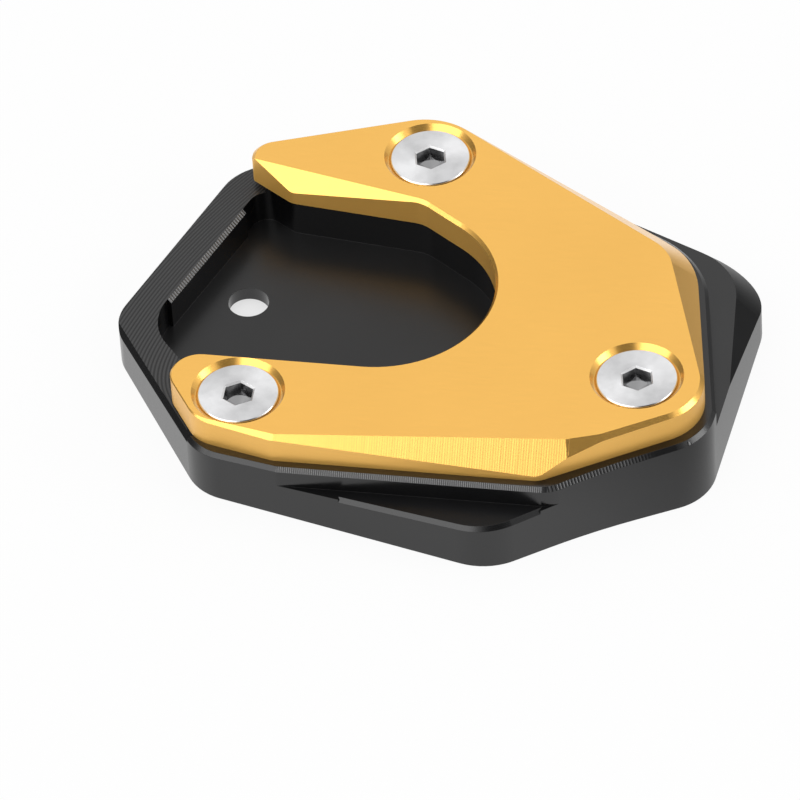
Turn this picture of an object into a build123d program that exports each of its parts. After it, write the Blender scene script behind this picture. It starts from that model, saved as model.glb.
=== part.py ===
# Kickstand foot enlarger: a wedge-shaped foot plate with a pocket for the stand's own foot,
# a fork-shaped clamp plate screwed on top of it, and three countersunk socket screws.
#
# The underside lies on Z = 0. +X runs along the straight front edge, from the open mouth of
# the fork to its closed end. The deck, which carries the clamp plate, rises along +X by the
# wedge angle, and everything above the underside is square to the deck.
import os
from math import atan2, cos, hypot, radians, sin, tan

from build123d import *

os.makedirs("parts", exist_ok=True)

# Driving sizes, in millimetres and degrees
wedge_angle = 3.2
deck_height = 10.1
clamp_thickness = 4.7
clamp_facet_depth = 4.4

deck_chamfer = 0.6
notch_depth = 3.3
notch_chamfer = 0.6
shelf_depth = 3.2
shelf_facet_angle = 40.0
rim_drop = 1.2
rim_tilt = 2.2
rim_chamfer = 0.7
pocket_depth = 6.3
strip_chamfer = 0.6
floor_hole_radius = 3.0

screw_length = 12.0
head_radius = 5.85
head_land = 0.4
head_sink = 0.5
shank_radius = 2.95
shank_clearance = 0.05
seat_clearance = 0.02
clamp_hole_radius = 3.25
socket_flats = 4.0
socket_depth = 2.4
socket_mouth_flats = 4.5
thread_chamfer = 0.5

# Screw centres on the deck, and the turn of each screw's hexagon
screw_places = {
    "screw_left": (-24.59, -21.55, 0.0),
    "screw_right": (31.69, -12.43, 11.5),
    "screw_rear": (-4.71, 30.14, 11.5),
}
floor_hole_at = (-28.6, 7.67)

# Outlines on the deck: corner points (x, y) with the radius of each corner's arc
foot_outline = [
    (-46.53, -3.56, 7.6),
    (-29.71, -29.72, 7.6),
    (13.39, -38.33, 9.5),
    (27.08, -28.2, 120.0),
    (42.56, -19.27, 8.9),
    (46.58, 20.93, 9.0),
    (-5.95, 39.43, 10.7),
    (-33.78, 29.92, 7.9),
]
# The deck's own edges are its front, its right and its far side. Elsewhere the deck ends at
# the foot plate's wall, and its outline passes outside the plate.
deck_outline = [
    (-80.0, -32.13, 0.0),
    (21.855, -32.13, 6.1),
    (23.75, -30.72, 0.0),
    (30.0, -60.0, 0.0),
    (51.27, -60.0, 0.0),
    (37.68, 17.83, 16.5),
    (-61.2, 69.3, 0.0),
]
pocket_outline = [
    (-41.27, -3.44, 9.0),
    (-31.65, -15.1, 4.0),
    (46.17, -15.1, 17.1),
    (-4.24, 20.73, 5.0),
    (-24.16, 23.05, 3.0),
    (-29.62, 26.74, 2.5),
    (-31.58, 21.62, 0.0),
    (-31.02, 21.4, 0.0),
    (-38.72, 1.46, 0.0),
    (-39.28, 1.68, 0.0),
]
# Straight runs of the rim's edges that carry a chamfer: the pocket's open side, and the foot
# plate's left wall. Each has its two ends on the rim and the direction away from the metal.
rim_edges = [
    ((-31.02, 21.4), (-38.72, 1.46), (0.933, -0.36), "strip"),
    ((-31.4, -27.1), (-46.72, -3.26), (-0.841, -0.541), "wall"),
]

# Walls of the clamp plate, and the smaller outline of its top face, from which the facets
# slope down to the walls
clamp_outline = [
    (-29.87, -27.72, 5.6),
    (-18.41, -30.45, 4.0),
    (19.95, -30.45, 3.5),
    (42.29, -17.24, 8.1),
    (36.26, 17.34, 15.0),
    (-5.08, 38.86, 9.8),
    (-30.8, 30.07, 2.8),
    (-30.8, 26.93, 0.8),
    (-24.33, 22.56, 2.9),
    (-4.42, 20.24, 5.0),
    (44.6, -14.55, 16.6),
    (-38.55, -14.35, 4.3),
]
clamp_top_outline = [
    (-29.93, -27.34, 5.1),
    (-18.13, -29.74, 0.0),
    (23.41, -26.26, 0.0),
    (28.11, -24.72, 3.0),
    (42.29, -16.66, 7.6),
    (32.76, 13.83, 7.8),
    (-4.21, 38.63, 9.5),
    (-30.3, 29.72, 3.0),
    (-30.3, 26.6, 0.0),
    (-4.02, 20.57, 5.2),
    (46.1, -15.0, 17.1),
    (-38.08, -14.79, 4.0),
]

# The deck: its origin is straight above the row's origin
deck = Plane(
    origin=(0, 0, deck_height),
    x_dir=(cos(radians(wedge_angle)), 0, sin(radians(wedge_angle))),
    z_dir=(-sin(radians(wedge_angle)), 0, cos(radians(wedge_angle))),
)
below = deck_height + 60 * sin(radians(wedge_angle))


def on_deck(x, y, h=0.0):
    """The row's point that lies at (x, y) on the deck and h above it."""
    return deck.from_local_coords(Vector(x, y, h))


def deck_direction(x, y, h=0.0):
    """The row's direction of a direction given on the deck."""
    return (on_deck(x, y, h) - on_deck(0, 0, 0)).normalized()


def rounded_outline(corners):
    """Draw a closed outline of straight runs and tangent arcs round the given corners."""
    ends = []
    count = len(corners)
    for i, (x, y, radius) in enumerate(corners):
        ax, ay, _ = corners[i - 1]
        bx, by, _ = corners[(i + 1) % count]
        a_len = hypot(ax - x, ay - y)
        b_len = hypot(bx - x, by - y)
        ux, uy = (ax - x) / a_len, (ay - y) / a_len
        vx, vy = (bx - x) / b_len, (by - y) / b_len
        if radius == 0:
            ends.append(((x, y), None, (x, y)))
            continue
        half = abs(atan2(ux * vy - uy * vx, ux * vx + uy * vy)) / 2
        reach = radius / tan(half)
        mx, my = ux + vx, uy + vy
        m_len = hypot(mx, my)
        mid = radius / sin(half) - radius
        ends.append(
            (
                (x + ux * reach, y + uy * reach),
                (x + mx / m_len * mid, y + my / m_len * mid),
                (x + vx * reach, y + vy * reach),
            )
        )
    with BuildLine() as outline:
        for i, (start, middle, end) in enumerate(ends):
            if middle is not None:
                ThreePointArc(start, middle, end)
            Line(end, ends[(i + 1) % count][0])
    return outline.line


def inset(corners, distance):
    """The corners of the same outline with every side moved inwards by a distance."""
    moved = []
    count = len(corners)
    for i, (x, y, radius) in enumerate(corners):
        ax, ay, _ = corners[i - 1]
        bx, by, _ = corners[(i + 1) % count]
        a_len = hypot(ax - x, ay - y)
        b_len = hypot(bx - x, by - y)
        nx, ny = (ay - y) / a_len, (x - ax) / a_len
        mx, my = (y - by) / b_len, (bx - x) / b_len
        scale = distance / (1 + nx * mx + ny * my)
        turn = (x - ax) * (by - y) - (y - ay) * (bx - x)
        new_radius = radius - distance if turn > 0 else radius + distance
        if radius == 0:
            new_radius = 0
        moved.append((x + (nx + mx) * scale, y + (ny + my) * scale, new_radius))
    return moved


foot_line = rounded_outline(foot_outline)
# The chamfers' cutting blocks run on a little past both ends of the chamfer
spare = 0.1
notch_upper_line = rounded_outline(inset(foot_outline, notch_chamfer + spare))
foot_upper_line = rounded_outline(inset(foot_outline, deck_chamfer + spare))
foot_lower_line = rounded_outline(inset(foot_outline, -spare))
deck_upper_line = rounded_outline(inset(deck_outline, deck_chamfer + spare))
deck_lower_line = rounded_outline(inset(deck_outline, -spare))
deck_line = rounded_outline(deck_outline)
pocket_line = rounded_outline(pocket_outline)
clamp_line = rounded_outline(clamp_outline)
clamp_top_line = rounded_outline(clamp_top_outline)
clamp_facet_line = rounded_outline(inset(clamp_top_outline, -clamp_facet_depth))
# Inner edge of the corner facet, closed far outside the plate
facet_line = rounded_outline(
    [(42.11, 19.28, 10.8), (-57.7, 65.6, 0.0), (-72.0, -70.0, 0.0), (48.9, -70.0, 0.0)]
)


# The tilted plane of the milled rim round the pocket's open side
rim_side = radians(69.15)
rim_fall = tan(radians(rim_tilt))
rim_origin = (-39.17, 15.74)


def on_rim(x, y):
    """The row's point on the rim's tilted face at (x, y) of the deck."""
    inward = (x - rim_origin[0]) * sin(rim_side) - (y - rim_origin[1]) * cos(rim_side)
    return on_deck(x, y, -rim_drop + inward * rim_fall)


rim_plane = Plane(
    origin=on_deck(*rim_origin, -rim_drop),
    x_dir=deck_direction(cos(rim_side), sin(rim_side)),
    z_dir=deck_direction(-sin(rim_side) * rim_fall, cos(rim_side) * rim_fall, 1.0),
)
# The rim is cut everywhere outside this line, which runs hidden under the clamp plate
rim_limit = [
    (-30.8, -24.6),
    (-47.5, -35.3),
    (-64.0, -35.0),
    (-64.0, 45.0),
    (-34.0, 45.0),
    (-28.2, 30.0),
    (-28.8, 25.0),
    (-24.0, 0.0),
    (-30.5, -12.0),
    (-30.5, -15.3),
    (-33.2, -16.4),
    (-34.0, -18.6),
    (-33.2, -21.2),
]

# Rim block: the left side of the foot plate, up to the rim's tilted face
with BuildPart() as rim_block:
    with BuildSketch(deck.offset(-below)):
        add(foot_line)
        make_face()
    extrude(amount=below + 8.0)
    split(bisect_by=rim_plane, keep=Keep.BOTTOM)
    with BuildSketch(deck.offset(-below)):
        with BuildLine():
            Polyline(*rim_limit, close=True)
        make_face()
    extrude(amount=below + 8.0, mode=Mode.INTERSECT)

# Corner facet: what the sloping cut takes off the far right corner of the shelf
with BuildPart() as corner_facet:
    with BuildSketch(deck.offset(-shelf_depth)):
        Rectangle(150, 150)
    extrude(amount=-below)
    with BuildSketch(deck.offset(-shelf_depth)):
        add(facet_line)
        make_face()
    extrude(amount=-below, taper=-shelf_facet_angle, mode=Mode.SUBTRACT)

# Notch edge: the short chamfer on the outer edge of the front notch
with BuildPart() as notch_edge:
    with BuildSketch(deck.offset(-notch_depth + spare)):
        with Locations((6.0, -36.0)):
            Rectangle(29.0, 16.0)
    extrude(amount=-notch_chamfer - 2 * spare)
    with BuildSketch(deck.offset(-notch_depth + spare)):
        add(notch_upper_line)
        make_face()
    with BuildSketch(deck.offset(-notch_depth - notch_chamfer - spare)):
        add(foot_lower_line)
        make_face()
    loft(ruled=True, mode=Mode.SUBTRACT)

# Deck area: the raised part of the foot plate, seen square to the deck
with BuildSketch() as deck_area:
    add(deck_line)
    make_face()

# Wall edge: the chamfer where the deck ends at the foot plate's wall
with BuildPart() as wall_edge:
    with BuildSketch(deck.offset(spare)):
        Rectangle(150, 150)
    extrude(amount=-deck_chamfer - 2 * spare)
    with BuildSketch(deck.offset(spare)):
        add(foot_upper_line)
        make_face()
    with BuildSketch(deck.offset(-deck_chamfer - spare)):
        add(foot_lower_line)
        make_face()
    loft(ruled=True, mode=Mode.SUBTRACT)

# Deck edge: the chamfer along the deck's own front, right and far edges
with BuildPart() as deck_edge:
    with BuildSketch(deck.offset(spare)):
        Rectangle(150, 150)
    extrude(amount=-deck_chamfer - 2 * spare)
    with BuildSketch(deck.offset(spare)):
        add(deck_upper_line)
        make_face()
    with BuildSketch(deck.offset(-deck_chamfer - spare)):
        add(deck_lower_line)
        make_face()
    loft(ruled=True, mode=Mode.SUBTRACT)

# Base plate: the foot plate with its deck, front notch, side shelf, rim and pocket
with BuildPart() as base_plate:
    with BuildSketch(deck.offset(-below)):
        add(foot_line)
        make_face()
    extrude(amount=below)
    # front notch, outside the deck's straight front edge
    with BuildSketch(deck):
        with BuildLine():
            Polyline((-40.0, -60.0), (28.0, -60.0), (28.0, -10.0), (-40.0, -10.0), close=True)
        make_face()
        add(deck_area.sketch, mode=Mode.SUBTRACT)
    extrude(amount=-notch_depth, mode=Mode.SUBTRACT)
    # shelf along the right and far sides
    with BuildSketch(deck):
        with BuildLine():
            Polyline((30.0, -60.0), (70.0, -60.0), (70.0, 60.0), (-6.0, 60.0), (-6.0, 0.0), (30.0, 0.0), close=True)
        make_face()
        add(deck_area.sketch, mode=Mode.SUBTRACT)
    extrude(amount=-shelf_depth, mode=Mode.SUBTRACT)
    add(corner_facet.part, mode=Mode.SUBTRACT)
    add(notch_edge.part, mode=Mode.SUBTRACT)
    add(wall_edge.part, mode=Mode.SUBTRACT)
    add(deck_edge.part, mode=Mode.SUBTRACT)
    # rim on the open side of the pocket
    with BuildSketch(deck.offset(-below)):
        with BuildLine():
            Polyline(*rim_limit, close=True)
        make_face()
    extrude(amount=below + 2.0, mode=Mode.SUBTRACT)
    add(rim_block.part)
    # pocket for the stand's foot, and the hole in its floor
    with BuildSketch(deck.offset(2.0)):
        add(pocket_line)
        make_face()
    extrude(amount=-pocket_depth - 2.0, mode=Mode.SUBTRACT)
    # chamfers along the rim's straight edges
    for start, end, side, place in rim_edges:
        size = strip_chamfer if place == "strip" else rim_chamfer
        run = on_rim(*end) - on_rim(*start)
        run_start = on_rim(*start) - run.normalized() * spare
        with BuildSketch(Plane(origin=run_start, x_dir=deck_direction(*side), z_dir=run)):
            with BuildLine():
                Polyline((1.0, -size - 1.0), (1.0, 2.0), (-size - 2.0, 2.0), close=True)
            make_face()
        extrude(amount=run.length + 2 * spare, mode=Mode.SUBTRACT)
    with BuildSketch(deck):
        with Locations(floor_hole_at):
            Circle(floor_hole_radius)
    extrude(amount=-below, mode=Mode.SUBTRACT)
    # threaded holes, plain at the thread's outer radius
    with BuildSketch(deck.offset(2.0)):
        with Locations(*[(x, y) for x, y, _ in screw_places.values()]):
            Circle(shank_radius + shank_clearance)
    extrude(amount=-below - 2.0, mode=Mode.SUBTRACT)
    # the flat underside that meets the ground
    split(bisect_by=Plane.XY, keep=Keep.TOP)
base_plate.part.label = "base_plate"

# Clamp facets: the block whose sides slope out from the clamp plate's top face at 45 degrees
with BuildPart() as clamp_facets:
    with BuildSketch(deck.offset(clamp_thickness)):
        add(clamp_top_line)
        make_face()
    with BuildSketch(deck.offset(clamp_thickness - clamp_facet_depth)):
        add(clamp_facet_line)
        make_face()
    loft(ruled=True)
    with BuildSketch(deck.offset(clamp_thickness - clamp_facet_depth)):
        add(clamp_facet_line)
        make_face()
    extrude(amount=-clamp_thickness)

# Clamp plate: fork-shaped, with sloping facets round its top face and three countersinks
with BuildPart() as clamp_plate:
    with BuildSketch(deck):
        add(clamp_line)
        make_face()
    extrude(amount=clamp_thickness)
    add(clamp_facets.part, mode=Mode.INTERSECT)
    with Locations(deck.offset(clamp_thickness)):
        with Locations(*[(x, y) for x, y, _ in screw_places.values()]):
            CounterSinkHole(
                radius=clamp_hole_radius,
                counter_sink_radius=head_radius + head_land + head_sink + seat_clearance,
                counter_sink_angle=90,
            )
clamp_plate.part.label = "clamp_plate"


cone_end = head_land + head_radius - shank_radius
screws = {}
for screw_name, (screw_x, screw_y, hex_turn) in screw_places.items():
    head_plane = Plane(
        origin=on_deck(screw_x, screw_y, clamp_thickness - head_sink),
        x_dir=deck_direction(cos(radians(hex_turn)), sin(radians(hex_turn))),
        z_dir=deck.z_dir,
    )
    section = Plane(origin=head_plane.origin, x_dir=head_plane.x_dir, z_dir=-head_plane.y_dir)
    with BuildPart() as screw:
        with BuildSketch(section):
            with BuildLine():
                Polyline(
                    (0, 0),
                    (head_radius - 0.15, 0),
                    (head_radius, -0.15),
                    (head_radius, -head_land),
                    (shank_radius, -cone_end),
                    (shank_radius, -screw_length + thread_chamfer),
                    (shank_radius - thread_chamfer, -screw_length),
                    (0, -screw_length),
                    close=True,
                )
            make_face()
        revolve(axis=Axis(head_plane.origin, head_plane.z_dir))
        # hexagon socket with a chamfered mouth and a drill point
        with BuildSketch(head_plane):
            RegularPolygon(radius=socket_flats / 2, side_count=6, major_radius=False, rotation=30)
        extrude(amount=-socket_depth, mode=Mode.SUBTRACT)
        with BuildSketch(section):
            with BuildLine():
                tip = socket_depth + socket_flats / 2 * tan(radians(31))
                Polyline((0, -socket_depth + 0.1), (socket_flats / 2 - 0.05, -socket_depth + 0.1),
                         (socket_flats / 2 - 0.05, -socket_depth), (0, -tip), close=True)
            make_face()
        revolve(axis=Axis(head_plane.origin, head_plane.z_dir), mode=Mode.SUBTRACT)
        mouth_depth = (socket_mouth_flats - socket_flats) / 2
        with BuildSketch(head_plane):
            RegularPolygon(radius=socket_mouth_flats / 2, side_count=6, major_radius=False, rotation=30)
        with BuildSketch(head_plane.offset(-mouth_depth)):
            RegularPolygon(radius=socket_flats / 2, side_count=6, major_radius=False, rotation=30)
        loft(ruled=True, mode=Mode.SUBTRACT)
    screw.part.label = screw_name
    screws[screw_name] = screw

export_step(base_plate.part, "parts/base_plate.step")
export_step(clamp_plate.part, "parts/clamp_plate.step")
export_step(screws["screw_left"].part, "parts/screw_left.step")
export_step(screws["screw_right"].part, "parts/screw_right.step")
export_step(screws["screw_rear"].part, "parts/screw_rear.step")
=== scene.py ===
"""Finishes and a small studio for the kickstand foot enlarger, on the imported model's frame."""
import math

import bmesh
import bpy
from mathutils import Matrix, Vector


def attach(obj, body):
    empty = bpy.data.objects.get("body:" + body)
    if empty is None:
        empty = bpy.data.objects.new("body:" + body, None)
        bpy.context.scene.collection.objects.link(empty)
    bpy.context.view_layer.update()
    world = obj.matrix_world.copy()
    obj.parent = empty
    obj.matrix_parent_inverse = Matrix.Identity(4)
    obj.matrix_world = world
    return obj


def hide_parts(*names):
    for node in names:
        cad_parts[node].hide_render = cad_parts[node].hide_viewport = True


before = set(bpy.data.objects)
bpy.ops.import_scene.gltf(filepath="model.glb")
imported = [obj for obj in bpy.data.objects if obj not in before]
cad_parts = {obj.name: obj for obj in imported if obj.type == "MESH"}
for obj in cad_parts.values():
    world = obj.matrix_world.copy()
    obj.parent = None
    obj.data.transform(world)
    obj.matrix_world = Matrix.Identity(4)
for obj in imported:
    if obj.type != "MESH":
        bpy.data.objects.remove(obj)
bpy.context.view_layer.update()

bl_info = {
    "name": "Kickstand foot enlarger",
    "version": (1, 0, 0),
    "blender": (4, 5, 0),
    "location": "View3D > Sidebar > Foot enlarger",
    "description": "Dresses the foot plate, the clamp plate and the screws, and lights them",
    "category": "Object",
}

MM = 0.001
FULL_TURN = 2 * math.pi
WHITE = (1.0, 1.0, 1.0, 1.0)

# The deck that carries the clamp plate is tilted about Y, and its origin is above the row's.
# Places on the deck are in millimetres: x, y and the height above it.
DECK_TILT = math.radians(3.2)
DECK_ORIGIN = Vector((0.0, 0.0, 10.1 * MM))
DECK_X = Vector((math.cos(DECK_TILT), 0.0, math.sin(DECK_TILT)))
DECK_Y = Vector((0.0, 1.0, 0.0))
DECK_Z = Vector((-math.sin(DECK_TILT), 0.0, math.cos(DECK_TILT)))

# Heights above the deck
CLAMP_TOP = 4.7
HEAD_TOP = 4.2
SOCKET_TOP = 3.95
DECK_CHAMFER_FOOT = -0.6
SHELF_HEIGHT = -3.2
NOTCH_HEIGHT = -3.3
POCKET_HEIGHT = -6.3

# The clamp plate's front facet has tooth marks in front of this y, between these x and heights
TOOTHED_Y = -25.0
TOOTHED_X = (-17.5, 24.5)
TOOTHED_HEIGHT = (0.32, CLAMP_TOP - 0.03)
TOOTH_PITCH = 0.36

# The screws' centres on the deck, a radius that takes in a socket and its mouth, the pitch of the
# fine and the coarse rings of turning, and the angle about which a turned face gets painted
# reflection
SCREW_CENTRES = {
    "screw_left": (-24.59, -21.55),
    "screw_right": (31.69, -12.43),
    "screw_rear": (-4.71, 30.14),
}
SOCKET_REACH = 2.7
FINE_RINGS = 0.16
COARSE_RINGS = 0.37
PAINTED_SHEEN_ANGLE = 2.3

# The rim's ribs turn between these two y. They are milled in rows this long, and each rib is
# made of this many strips.
RIB_TURN_START = -6.0
RIB_TURN_END = -19.5
RIB_ROW = 1.5
RIB_STRIPS = 6

# Finishes of the foot plate's faces, in the order of its materials, and of its rim
PLAIN, FRONT_FLUTES, RIGHT_FLUTES, STRIP_FLUTES, POCKET_FLOOR, NOTCH_FLOOR, CORNER_FACET = range(7)
RIBS = -1

# Limits of the foot plate's faces: the rim is between its two heights, the notch's floor is in
# front of its y, the corner facet is right of its x and the strip left of its x. A face is at a
# height if its middle is this near.
RIM_LOW = -2.0
RIM_HIGH = -0.3
NOTCH_BACK = -20.0
CORNER_LEFT = 30.0
STRIP_RIGHT = -20.0
NEAR = 0.3

# Cells to the millimetre of the fine grain on black anodising
GRAIN = 9.0

# The floor is a disc just under the object. The place under the foot plate's hole, where the floor
# gets a painted shadow, is in the row's millimetres, with a radius that takes it in.
FLOOR_RADIUS = 6.0
FLOOR_DROP = 0.1
HOLE_ON_FLOOR = Vector((-28.1, 7.7, 0.0))
HOLE_REACH = 4.2

# Brightness of the room at its horizon and everywhere, and its two dark parts: the left of the
# horizon, and a gap at the front right, halfway up
ROOM_HORIZON = 0.22
ROOM_FILL = 0.03
ROOM_LEFT = Vector((-1.0, 0.15, 0.0))
ROOM_GAP = Vector((0.40, -0.62, 0.68)).normalized()

# Each lamp's direction from the object, its sides in metres and its power in watts
LAMP_DISTANCE = 1.3
LAMPS = {
    "lamp left": ((-0.39, -0.63, 0.67), (0.86, 0.62), 3.0),
    "lamp far left": ((-0.76, -0.34, 0.55), (0.42, 0.36), 1.0),
    "lamp right": ((0.90, 0.02, 0.46), (0.62, 0.50), 4.0),
}


def rib_bend(y, turned, beyond):
    """Sideways shift of a rib at y, in millimetres, for numbers or sockets.

    Turned is how far y is into the turn, and beyond how far it is past the turn's end, both 0
    or negative.
    """
    straight = 0.33 * y + 0.00545 * (y * y)
    return straight - 0.0014 * (turned * turned * turned) - 0.74 * beyond


def on_deck(point):
    """Deck coordinates (x, y, height) of a point of the row, in millimetres."""
    away = point - DECK_ORIGIN
    return Vector((away.dot(DECK_X), away.dot(DECK_Y), away.dot(DECK_Z))) / MM


def shade_of(colour, factor=1.0, added=0.0):
    """A colour made lighter or darker, with full alpha."""
    return tuple(min(1.0, part * factor + added) for part in colour) + (1.0,)


class Socket:
    """A shader socket that can be used in Python expressions."""

    def __init__(self, net, link):
        self.net = net
        self.link = link

    def __add__(self, other):
        return self.net.math("ADD", self, other)

    def __radd__(self, other):
        return self.net.math("ADD", other, self)

    def __sub__(self, other):
        return self.net.math("SUBTRACT", self, other)

    def __rsub__(self, other):
        return self.net.math("SUBTRACT", other, self)

    def __mul__(self, other):
        return self.net.math("MULTIPLY", self, other)

    def __rmul__(self, other):
        return self.net.math("MULTIPLY", other, self)

    def __gt__(self, other):
        return self.net.math("GREATER_THAN", self, other)

    def __lt__(self, other):
        return self.net.math("LESS_THAN", self, other)

    def between(self, low, high):
        """1 between two values, and 0 outside them."""
        return (self > low) * (self < high)

    def wave(self, period):
        """A smooth wave from 0 to 1 with this period, and 0.5 at the start."""
        return self.net.math("SINE", self * (FULL_TURN / period)) * 0.5 + 0.5

    def crest(self, period):
        """A smooth wave from 0 to 1 with this period, and 1 at the start."""
        return self.net.math("COSINE", self * (FULL_TURN / period)) * 0.5 + 0.5

    def ramp(self, low, high):
        """0 below low, 1 above high, and straight between them."""
        values = {"Value": self, "From Min": low, "From Max": high}
        return self.net.node("ShaderNodeMapRange", {"clamp": True}, values)


class Net:
    """The node tree of one material or world."""

    def __init__(self, owner):
        owner.use_nodes = True
        self.tree = owner.node_tree
        self.tree.nodes.clear()

    def node(self, kind, settings=None, values=None, output=0):
        """A node of this type, with its settings, and with values or links on its inputs."""
        made = self.tree.nodes.new(kind)
        for name, value in (settings or {}).items():
            setattr(made, name, value)
        pairs = values.items() if isinstance(values, dict) else enumerate(values or [])
        for name, value in pairs:
            socket = made.inputs[name]
            if isinstance(value, Socket):
                self.tree.links.new(value.link, socket)
            else:
                socket.default_value = value
        return Socket(self, made.outputs[output]) if len(made.outputs) else made

    def math(self, operation, *values):
        return self.node("ShaderNodeMath", {"operation": operation}, values)

    def vector(self, operation, *values, output="Vector"):
        return self.node("ShaderNodeVectorMath", {"operation": operation}, values, output)

    def dot(self, first, second):
        return self.vector("DOT_PRODUCT", first, second, output="Value")

    def place(self):
        """The point on the object's own coordinates, in metres."""
        return self.node("ShaderNodeTexCoord", output="Object")

    def along(self, direction, origin=(0.0, 0.0, 0.0)):
        """Distance in millimetres along a direction, from an origin."""
        away = self.vector("SUBTRACT", self.place(), Vector(origin))
        return self.dot(away, Vector(direction).normalized() / MM)

    def noise(self, cells, detail, stretch=(1.0, 1.0, 1.0)):
        """Noise on the object's coordinates, with this many cells to the millimetre."""
        grid = self.vector("MULTIPLY", self.place(), Vector(stretch) * cells / MM)
        values = {"Vector": grid, "Scale": 1.0, "Detail": detail}
        return self.node("ShaderNodeTexNoise", None, values)

    def mix(self, factor, first, second):
        """A blend of two colours."""
        values = {0: factor, 6: first, 7: second}
        return self.node("ShaderNodeMix", {"data_type": "RGBA"}, values, output=2)

    def bump(self, height, distance, edge):
        """A normal from a height of 0 to 1 that stands this many millimetres, over soft edges."""
        soft = self.node("ShaderNodeBevel", {"samples": 6}, {"Radius": edge * MM})
        values = {"Distance": distance * MM, "Height": height, "Normal": soft}
        return self.node("ShaderNodeBump", None, values)

    def light_path(self, kind):
        return self.node("ShaderNodeLightPath", output=kind)

    def surface(self, values):
        """The principled shader, with values and links on its inputs."""
        shader = self.node("ShaderNodeBsdfPrincipled", None, values)
        self.node("ShaderNodeOutputMaterial", None, {"Surface": shader})


def new_material(name):
    material = bpy.data.materials.new(name)
    return material, Net(material)


def ribbed_black(name, options, pitch):
    """Black anodised aluminium on the milled ribs: dull in the grooves, polished on the crests,
    with a painted shade in the grooves and a painted highlight on the crests.
    """
    material, net = new_material(name)
    grain = net.noise(GRAIN, detail=2.0)
    x = net.along(DECK_X, DECK_ORIGIN)
    y = net.along(DECK_Y, DECK_ORIGIN)
    past_start = net.math("MINIMUM", y - RIB_TURN_START, 0.0)
    turned = net.math("MAXIMUM", past_start, RIB_TURN_END - RIB_TURN_START)
    beyond = net.math("MINIMUM", y - RIB_TURN_END, 0.0)
    crest = (x - rib_bend(y, turned, beyond)).crest(pitch)
    # The grooves' colour is painted darker, a painted shade, and the crests' lighter, a painted
    # highlight
    painted_groove_shade = shade_of(options.black_colour, 0.4)
    painted_crest_highlight = shade_of(options.black_colour, 2.0, 0.030)
    net.surface({
        "Metallic": 0.0,
        "IOR": 1.5,
        "Base Color": net.mix(crest, painted_groove_shade, painted_crest_highlight),
        "Roughness": options.black_roughness + 0.25 - crest * 0.2 + (grain - 0.5) * 0.1,
        "Normal": net.bump(grain, 0.001, edge=0.05),
    })
    return material


def black_anodised(name, options, roughness=0.0, grey=0.0, ior=1.55):
    """Black anodised aluminium with cloudy wear."""
    material, net = new_material(name)
    grain = net.noise(GRAIN, detail=2.0)
    cloud = net.noise(0.06, detail=2.0).ramp(0.35, 0.75)
    base = shade_of(options.black_colour, 1.0, grey)
    worn = shade_of(options.black_colour, 1.6, grey * 1.2 + 0.0015)
    net.surface({
        "Metallic": 0.0,
        "IOR": ior,
        "Base Color": net.mix(cloud, base, worn),
        "Roughness": options.black_roughness + roughness + (grain - 0.5) * 0.08,
        "Normal": net.bump(grain, 0.0015, edge=0.08),
    })
    return material


def fluted_black(name, options, run, pitch, depth, painted_shine, bare=None):
    """Black anodised aluminium with the cutter's flutes on a chamfer, painted lighter on their
    crests as a painted highlight.

    The flutes follow each other along run, a direction on the deck, and pitch and depth are in
    millimetres. Bare is a stretch of the run that has none: where they fade, are gone and start
    again.
    """
    material, net = new_material(name)
    grain = net.noise(GRAIN, detail=2.0)
    place = net.along(DECK_X * run[0] + DECK_Y * run[1])
    flute = place.wave(pitch)
    if bare:
        fade, gone, again = bare
        flute = flute * (1 - place.ramp(fade, gone) * (place < again))
    # The flutes' crests are painted lighter: a painted highlight
    base = shade_of(options.black_colour)
    painted_flute_highlight = shade_of(options.black_colour, 3.0, painted_shine)
    net.surface({
        "Metallic": 0.0,
        "IOR": 1.55,
        "Base Color": net.mix(flute, base, painted_flute_highlight),
        "Roughness": options.black_roughness + (grain - 0.5) * 0.08,
        "Normal": net.bump(flute + (grain - 0.5) * 0.15, depth, edge=0.05),
    })
    return material


def gold_anodised(name, options):
    """Gold anodised aluminium: brushed on top, milled on its facets and satin on its walls."""
    material, net = new_material(name)
    brushing = net.noise(1.0, detail=4.0, stretch=(0.08, 5.0, 5.0))
    specks = net.noise(14.0, detail=2.0)
    cloud = net.noise(0.05, detail=2.0)
    x = net.along(DECK_X)
    y = net.along(DECK_Y)
    height = net.along(DECK_Z, DECK_ORIGIN)
    # The front facet keeps the marks of the cutter's teeth, which run down its slope
    facet = (y < TOOTHED_Y) * x.between(*TOOTHED_X) * height.between(*TOOTHED_HEIGHT)
    uneven = net.noise(1.0, detail=3.0, stretch=(1.6, 0.01, 0.01))
    strength = x.ramp(-16.0, 12.0) * 0.7 + 0.3
    teeth = (x.wave(TOOTH_PITCH) * 0.35 + uneven * 1.3) * strength
    top = (height > CLAMP_TOP - 0.02) * (brushing - 0.5)
    relief = top * 0.10 + facet * teeth + (specks - 0.5) * 0.03
    # The walls are duller than the top and the facets
    facing = net.dot(net.node("ShaderNodeNewGeometry", output="Normal"), DECK_Z)
    wall = 1 - net.math("ABSOLUTE", facing).ramp(0.2, 0.6)
    deep = shade_of(options.gold_colour, 0.91)
    pale = shade_of(options.gold_colour, 1.05, 0.01)
    net.surface({
        "Base Color": net.mix(cloud * 0.5 + brushing * 0.5, deep, pale),
        "Metallic": 0.8 - wall * 0.35,
        "Roughness": options.gold_roughness + (brushing - 0.5) * 0.10 + wall * 0.15,
        "Normal": net.bump(relief, 0.0065, edge=0.06),
    })
    return material


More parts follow.
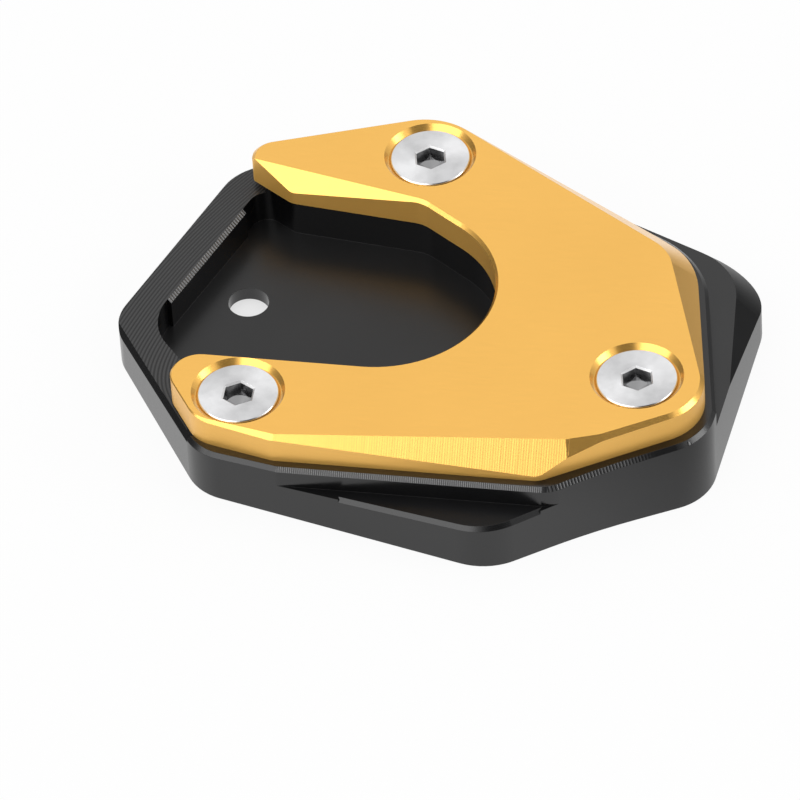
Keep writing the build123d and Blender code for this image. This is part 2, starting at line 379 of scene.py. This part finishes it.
def stainless(name, options, centre):
    """Stainless steel with the fine rings of turning round a screw's centre."""
    material, net = new_material(name)
    middle = DECK_ORIGIN + (DECK_X * centre[0] + DECK_Y * centre[1]) * MM
    x = net.along(DECK_X, middle)
    y = net.along(DECK_Y, middle)
    height = net.along(DECK_Z, DECK_ORIGIN)
    radius = net.math("SQRT", x * x + y * y)
    specks = net.noise(6.0, detail=3.0)
    blot = net.noise(0.35, detail=3.0)
    fine = radius.wave(FINE_RINGS)
    coarse = (radius + specks * 0.05).wave(COARSE_RINGS)
    relief = fine * 0.6 + coarse * 0.4 + (specks - 0.5) * 0.3
    # A turned face is painted darker in two opposite sectors, a painted reflection, and in random
    # blots
    painted_sheen_sector = (net.math("ARCTAN2", y, x) - PAINTED_SHEEN_ANGLE).crest(FULL_TURN / 2)
    light = shade_of(options.steel_colour)
    blot_and_painted_dark = shade_of(options.steel_colour, 0.64)
    face = net.mix(painted_sheen_sector * 0.7 + blot.ramp(0.35, 0.75) * 0.45, light, blot_and_painted_dark)
    # The socket is painted dark inside, a painted shade in its recess, and the chamfer round its
    # mouth is duller than the face
    socket = (radius < SOCKET_REACH) * (height < SOCKET_TOP)
    mouth = (radius < SOCKET_REACH) * height.between(SOCKET_TOP, HEAD_TOP - 0.02)
    net.surface({
        "Metallic": 1.0,
        "Base Color": net.mix(socket * 0.85, face, shade_of(options.steel_colour, 0.30)),
        "Roughness": options.steel_roughness + (blot - 0.5) * 0.12 + mouth * 0.35,
        "Normal": net.bump(relief, 0.0015, edge=0.08),
    })
    return material


def floor_paper(name):
    """White paper that the camera and reflections see lit, and that keeps the object's shadow."""
    material, net = new_material(name)
    paper = net.noise(0.4, detail=2.0)
    tone = net.mix(paper, (0.80, 0.80, 0.80, 1.0), (0.83, 0.83, 0.83, 1.0))
    matte = net.node("ShaderNodeBsdfDiffuse", None, {"Color": tone})
    camera_ray = net.light_path("Is Camera Ray")
    glossy_ray = net.light_path("Is Glossy Ray")
    # In reflections the paper is dimmer far away, and at the object's right
    far = net.vector("LENGTH", net.place(), output="Value").ramp(0.06, 0.22)
    right = net.along((1.0, 0.0, 0.0)).ramp(30.0, 54.0) * 0.5
    dim = net.math("MAXIMUM", far, right) * glossy_ray
    glow = net.mix(dim, WHITE, (0.12, 0.12, 0.12, 1.0))
    lit = net.node("ShaderNodeEmission", None, {"Color": glow, "Strength": 1.0})
    # The paper that shows through the foot plate's hole gets a painted shadow: its glow to the
    # camera is lowered there
    from_hole = net.vector("DISTANCE", net.place(), HOLE_ON_FLOOR * MM, output="Value")
    painted_hole_shadow = (from_hole < HOLE_REACH * MM) * 0.36
    shown = camera_ray * (0.93 - painted_hole_shadow) + glossy_ray * 0.9
    mixed = net.node("ShaderNodeMixShader", None, [shown, matte, lit])
    net.node("ShaderNodeOutputMaterial", None, {"Surface": mixed})
    return material


def set_material(thing, *materials):
    if thing.data.materials:
        thing.data.materials.clear()
    for material in materials:
        thing.data.materials.append(material)


class FootEnlargerFinishes(bpy.types.PropertyGroup):
    """Colours and finishes of the metal parts."""

    black_colour: bpy.props.FloatVectorProperty(
        name="Black anodising", description="Colour of the foot plate",
        subtype="COLOR", size=3, min=0.0, max=1.0, default=(0.0025, 0.0025, 0.0028))
    black_roughness: bpy.props.FloatProperty(
        name="Black roughness", description="Roughness of the foot plate",
        subtype="FACTOR", min=0.0, max=1.0, default=0.22)
    gold_colour: bpy.props.FloatVectorProperty(
        name="Gold anodising", description="Colour of the clamp plate",
        subtype="COLOR", size=3, min=0.0, max=1.0, default=(0.93, 0.52, 0.115))
    gold_roughness: bpy.props.FloatProperty(
        name="Gold roughness", description="Roughness of the clamp plate",
        subtype="FACTOR", min=0.0, max=1.0, default=0.20)
    steel_colour: bpy.props.FloatVectorProperty(
        name="Steel", description="Colour of the screws",
        subtype="COLOR", size=3, min=0.0, max=1.0, default=(0.89, 0.89, 0.90))
    steel_roughness: bpy.props.FloatProperty(
        name="Steel roughness", description="Roughness of the screws",
        subtype="FACTOR", min=0.0, max=1.0, default=0.2)


class FootEnlargerShapes(bpy.types.PropertyGroup):
    """Sizes of the milled detail."""

    rib_pitch: bpy.props.FloatProperty(
        name="Rib pitch", description="Distance between the ribs on the rim",
        subtype="DISTANCE", unit="LENGTH", min=0.0002, default=0.00058)
    rib_depth: bpy.props.FloatProperty(
        name="Rib depth", description="Depth of the grooves between the ribs",
        subtype="DISTANCE", unit="LENGTH", min=0.0, default=0.000035)


class FootEnlargerStudio(bpy.types.PropertyGroup):
    """Camera and room."""

    azimuth: bpy.props.FloatProperty(
        name="Azimuth", description="Turn of the camera from the front towards the right",
        subtype="ANGLE", unit="ROTATION", default=math.radians(8.368))
    elevation: bpy.props.FloatProperty(
        name="Elevation", description="Height of the camera above the horizon",
        subtype="ANGLE", unit="ROTATION", default=math.radians(45.086))
    roll: bpy.props.FloatProperty(
        name="Roll", description="Roll of the camera about its view",
        subtype="ANGLE", unit="ROTATION", default=math.radians(0.7145))
    distance: bpy.props.FloatProperty(
        name="Distance", description="Distance from the camera to the point it aims at",
        subtype="DISTANCE", unit="LENGTH", default=1.24459)
    aim: bpy.props.FloatVectorProperty(
        name="Aim", description="Point that the camera looks at",
        subtype="TRANSLATION", unit="LENGTH", size=3, default=(-0.002146, -0.016339, 0.010))
    lens: bpy.props.FloatProperty(
        name="Lens", description="Focal length in millimetres", default=390.78)
    sky: bpy.props.FloatProperty(
        name="Sky", description="Brightness of the room above the object", min=0.0, default=0.98)


class FOOTENLARGER_OT_foot_plate(bpy.types.Operator):
    """Dress the black foot plate and mill the ribs on its rim"""

    bl_idname = "foot_enlarger.foot_plate"
    bl_label = "Foot plate"

    def execute(self, context):
        shapes = context.scene.foot_enlarger_shapes
        finishes = context.scene.foot_enlarger_finishes
        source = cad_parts["base_plate"].data
        slots = [self.finish_of(face) for face in source.polygons]
        if RIBS not in slots:
            raise RuntimeError("the rim wasn't found on the foot plate")
        plate = self.copy_faces(source, slots)
        set_material(plate, *self.plate_materials(finishes))
        rim = self.mill_rim(source, slots, shapes)
        set_material(rim, ribbed_black("black milled ribs", finishes, shapes.rib_pitch / MM))
        for piece in (plate, rim):
            context.scene.collection.objects.link(piece)
            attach(piece, "root")
            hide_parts("base_plate")
        return {"FINISHED"}

    @staticmethod
    def plate_materials(finishes):
        """The foot plate's materials, in the order of its finishes."""
        return (
            black_anodised("black anodised", finishes),
            fluted_black("black front flutes", finishes,
                         run=(1.0, 0.0), pitch=0.30, depth=0.02, painted_shine=0.14),
            fluted_black("black right flutes", finishes,
                         run=(0.866, 0.5), pitch=0.5, depth=0.03, painted_shine=0.045,
                         bare=(15.0, 20.0, 24.9)),
            fluted_black("black strip flutes", finishes,
                         run=(0.36, 0.933), pitch=0.53, depth=0.05, painted_shine=0.12),
            black_anodised("black pocket floor", finishes, roughness=0.08, grey=0.004, ior=1.46),
            black_anodised("black notch floor", finishes, roughness=0.16, ior=1.3),
            black_anodised("black corner facet", finishes, roughness=0.1, ior=1.2),
        )

    @staticmethod
    def finish_of(face):
        """The finish of a face of the foot plate, from where its middle is and how it faces."""
        normal = Vector([face.normal.dot(axis) for axis in (DECK_X, DECK_Y, DECK_Z)])
        middle = on_deck(face.center)
        nearly_level = 0.998 < normal.z < 0.9998
        level = normal.z > 0.99
        chamfer = 0.6 < normal.z < 0.8
        sloping = 0.3 < normal.z < 0.95
        deck_edge = chamfer and normal.y < -0.5 and middle.z > DECK_CHAMFER_FOOT - 0.05
        if nearly_level and RIM_LOW < middle.z < RIM_HIGH:
            return RIBS
        if level and abs(middle.z - POCKET_HEIGHT) < NEAR:
            return POCKET_FLOOR
        if level and abs(middle.z - NOTCH_HEIGHT) < NEAR and middle.y < NOTCH_BACK:
            return NOTCH_FLOOR
        if sloping and middle.z < SHELF_HEIGHT - 0.05 and middle.x > CORNER_LEFT:
            return CORNER_FACET
        if deck_edge:
            if abs(normal.x) < 0.05:
                return FRONT_FLUTES
            return RIGHT_FLUTES if normal.x > 0.2 else PLAIN
        if chamfer and normal.x > 0.55 and middle.x < STRIP_RIGHT:
            return STRIP_FLUTES
        return PLAIN

    @staticmethod
    def copy_faces(source, slots):
        """The foot plate without its rim, with the normals that it was packed with."""
        faces = [face for face, slot in zip(source.polygons, slots) if slot != RIBS]
        used = sorted({v for face in faces for v in face.vertices})
        number = {v: k for k, v in enumerate(used)}
        made = bpy.data.meshes.new("foot_plate")
        made.from_pydata([source.vertices[v].co for v in used], [],
                         [[number[v] for v in face.vertices] for face in faces])
        made.polygons.foreach_set("material_index", [slot for slot in slots if slot != RIBS])
        made.polygons.foreach_set("use_smooth", [True] * len(faces))
        made.normals_split_custom_set(
            [tuple(source.corner_normals[k].vector) for face in faces for k in face.loop_indices])
        return bpy.data.objects.new("foot_plate", made)

    def mill_rim(self, source, slots, shapes):
        """The rim as a surface of its own, with its ribs."""
        mesh = bmesh.new()
        mesh.from_mesh(source)
        mesh.faces.ensure_lookup_table()
        spare = [mesh.faces[k] for k, slot in enumerate(slots) if slot != RIBS]
        bmesh.ops.delete(mesh, geom=spare, context="FACES")
        bmesh.ops.remove_doubles(mesh, verts=mesh.verts, dist=1e-6)
        bmesh.ops.dissolve_limit(
            mesh, angle_limit=math.radians(0.3), verts=mesh.verts, edges=mesh.edges)
        mesh.normal_update()
        self.mill_ribs(mesh, list(mesh.faces), shapes)
        made = bpy.data.meshes.new("milled_rim")
        mesh.to_mesh(made)
        mesh.free()
        made.polygons.foreach_set("use_smooth", [True] * len(made.polygons))
        return bpy.data.objects.new("milled_rim", made)

    def mill_ribs(self, mesh, area, shapes):
        """Cut the rim along the flanks of its ribs, and lower the grooves between them."""
        pitch = shapes.rib_pitch / MM
        normal = area[0].normal.copy()
        places = [on_deck(v.co).y for face in area for v in face.verts]
        area = self.cut_rows(mesh, area, DECK_Y, places, RIB_ROW)
        # All ribs are the same curve, so they are cut straight while the rim is bent back
        verts = {v for face in area for v in face.verts}
        for vert in verts:
            vert.co -= DECK_X * self.bend(on_deck(vert.co).y) * MM
        places = [on_deck(v.co).x for v in verts]
        area = self.cut_rows(mesh, area, DECK_X, places, pitch / RIB_STRIPS)
        for vert in {v for face in area for v in face.verts}:
            place = on_deck(vert.co)
            groove = 0.5 - 0.5 * math.cos(FULL_TURN * place.x / pitch)
            vert.co += DECK_X * self.bend(place.y) * MM
            vert.co -= normal * shapes.rib_depth * groove

    @staticmethod
    def bend(y):
        """Sideways shift of a rib at y, in millimetres."""
        turned = max(min(0.0, y - RIB_TURN_START), RIB_TURN_END - RIB_TURN_START)
        return rib_bend(y, turned, min(0.0, y - RIB_TURN_END))

    @staticmethod
    def cut_rows(mesh, area, direction, places, step):
        """Split an area's faces into rows a step wide along a direction, over these places."""
        place = math.ceil(min(places) / step) * step
        end = max(places)
        while place < end:
            edges = {e for face in area for e in face.edges}
            verts = {v for face in area for v in face.verts}
            made = bmesh.ops.bisect_plane(
                mesh, geom=[*area, *edges, *verts], dist=1e-8,
                plane_co=DECK_ORIGIN + direction * place * MM, plane_no=direction)
            area = [g for g in made["geom"] if isinstance(g, bmesh.types.BMFace)]
            place += step
        return area


class FOOTENLARGER_OT_clamp_plate(bpy.types.Operator):
    """Dress the gold clamp plate"""

    bl_idname = "foot_enlarger.clamp_plate"
    bl_label = "Clamp plate"

    def execute(self, context):
        finishes = context.scene.foot_enlarger_finishes
        set_material(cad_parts["clamp_plate"], gold_anodised("gold anodised", finishes))
        return {"FINISHED"}


class FOOTENLARGER_OT_screws(bpy.types.Operator):
    """Dress the three countersunk screws"""

    bl_idname = "foot_enlarger.screws"
    bl_label = "Screws"

    def execute(self, context):
        finishes = context.scene.foot_enlarger_finishes
        for name, centre in SCREW_CENTRES.items():
            set_material(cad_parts[name], stainless("steel of " + name, finishes, centre))
        return {"FINISHED"}


class FOOTENLARGER_OT_stage(bpy.types.Operator):
    """Lay the floor, set the lamps and the room, and place the camera"""

    bl_idname = "foot_enlarger.stage"
    bl_label = "Stage"

    def execute(self, context):
        studio = context.scene.foot_enlarger_studio
        self.place_camera(context, studio)
        self.lay_floor(context)
        self.light_room(context, studio)
        for name, (direction, sides, power) in LAMPS.items():
            self.hang_lamp(context, name, Vector(direction).normalized(), sides, power)
        context.scene.view_settings.view_transform = "Standard"
        return {"FINISHED"}

    @staticmethod
    def place_camera(context, studio):
        level = math.cos(studio.elevation)
        back = Vector((math.sin(studio.azimuth) * level, -math.cos(studio.azimuth) * level,
                       math.sin(studio.elevation)))
        right = Vector((math.cos(studio.azimuth), math.sin(studio.azimuth), 0.0))
        up = back.cross(right)
        rolled_right = right * math.cos(studio.roll) + up * math.sin(studio.roll)
        rolled_up = back.cross(rolled_right)
        camera = bpy.data.objects.new("camera", bpy.data.cameras.new("camera"))
        context.scene.collection.objects.link(camera)
        camera.data.sensor_width = 36.0
        camera.data.lens = studio.lens
        camera.data.clip_start = 0.01
        camera.data.clip_end = 20.0
        stand = Matrix.Translation(Vector(studio.aim) + back * studio.distance)
        turn = Matrix((rolled_right, rolled_up, back)).transposed().to_4x4()
        camera.matrix_world = stand @ turn
        context.scene.camera = camera

    @staticmethod
    def lay_floor(context):
        mesh = bmesh.new()
        bmesh.ops.create_circle(mesh, cap_ends=True, segments=96, radius=FLOOR_RADIUS)
        floor_mesh = bpy.data.meshes.new("floor")
        mesh.to_mesh(floor_mesh)
        mesh.free()
        floor = bpy.data.objects.new("floor", floor_mesh)
        floor.location.z = -FLOOR_DROP * MM
        context.scene.collection.objects.link(floor)
        set_material(floor, floor_paper("floor paper"))

    @staticmethod
    def light_room(context, studio):
        """A room that is bright above and dim at the horizon, and white to the camera."""
        world = bpy.data.worlds.new("room")
        context.scene.world = world
        net = Net(world)
        direction = net.node("ShaderNodeTexCoord", output="Generated")
        rise = net.node("ShaderNodeSeparateXYZ", None, [direction], output="Z")
        left = net.dot(direction, ROOM_LEFT).ramp(0.36, 0.66) * (1 - rise.ramp(0.33, 0.48))
        gap = net.dot(direction, ROOM_GAP).ramp(0.93, 0.96)
        above = rise.ramp(0.10, 0.40) * (studio.sky - ROOM_HORIZON - ROOM_FILL)
        glow = (above + ROOM_HORIZON) * (1 - left * 0.7) * (1 - gap * 0.95) + ROOM_FILL
        tone = net.node("ShaderNodeCombineXYZ", None, [glow, glow, glow])
        colour = net.mix(net.light_path("Is Camera Ray"), tone, WHITE)
        background = net.node("ShaderNodeBackground", None, {"Color": colour, "Strength": 1.0})
        net.node("ShaderNodeOutputWorld", None, {"Surface": background})

    @staticmethod
    def hang_lamp(context, name, direction, sides, power):
        lamp = bpy.data.lights.new(name, "AREA")
        lamp.shape = "RECTANGLE"
        lamp.size, lamp.size_y = sides
        lamp.energy = power
        box = bpy.data.objects.new(name, lamp)
        turn = direction.to_track_quat("Z", "Y").to_matrix().to_4x4()
        box.matrix_world = Matrix.Translation(direction * LAMP_DISTANCE) @ turn
        context.scene.collection.objects.link(box)


class FOOTENLARGER_PT_panel(bpy.types.Panel):
    """Lists the pieces of the foot enlarger"""

    bl_idname = "FOOTENLARGER_PT_panel"
    bl_label = "Foot enlarger"
    bl_space_type = "VIEW_3D"
    bl_region_type = "UI"
    bl_category = "Foot enlarger"

    def draw(self, context):
        column = self.layout.column(align=True)
        for operator in OPERATORS:
            column.operator(operator.bl_idname)
        for name in GROUPS:
            group = getattr(context.scene, name)
            box = self.layout.box()
            for option in group.__annotations__:
                box.prop(group, option)


OPERATORS = (
    FOOTENLARGER_OT_stage,
    FOOTENLARGER_OT_foot_plate,
    FOOTENLARGER_OT_clamp_plate,
    FOOTENLARGER_OT_screws,
)
GROUPS = {
    "foot_enlarger_finishes": FootEnlargerFinishes,
    "foot_enlarger_shapes": FootEnlargerShapes,
    "foot_enlarger_studio": FootEnlargerStudio,
}


def register():
    for name, group in GROUPS.items():
        bpy.utils.register_class(group)
        setattr(bpy.types.Scene, name, bpy.props.PointerProperty(type=group))
    for operator in OPERATORS:
        bpy.utils.register_class(operator)
    bpy.utils.register_class(FOOTENLARGER_PT_panel)


def unregister():
    bpy.utils.unregister_class(FOOTENLARGER_PT_panel)
    for operator in reversed(OPERATORS):
        bpy.utils.unregister_class(operator)
    for name, group in GROUPS.items():
        delattr(bpy.types.Scene, name)
        bpy.utils.unregister_class(group)


def main():
    register()
    bpy.ops.foot_enlarger.stage()
    bpy.ops.foot_enlarger.foot_plate()
    bpy.ops.foot_enlarger.clamp_plate()
    bpy.ops.foot_enlarger.screws()


if __name__ == "__main__":
    main()
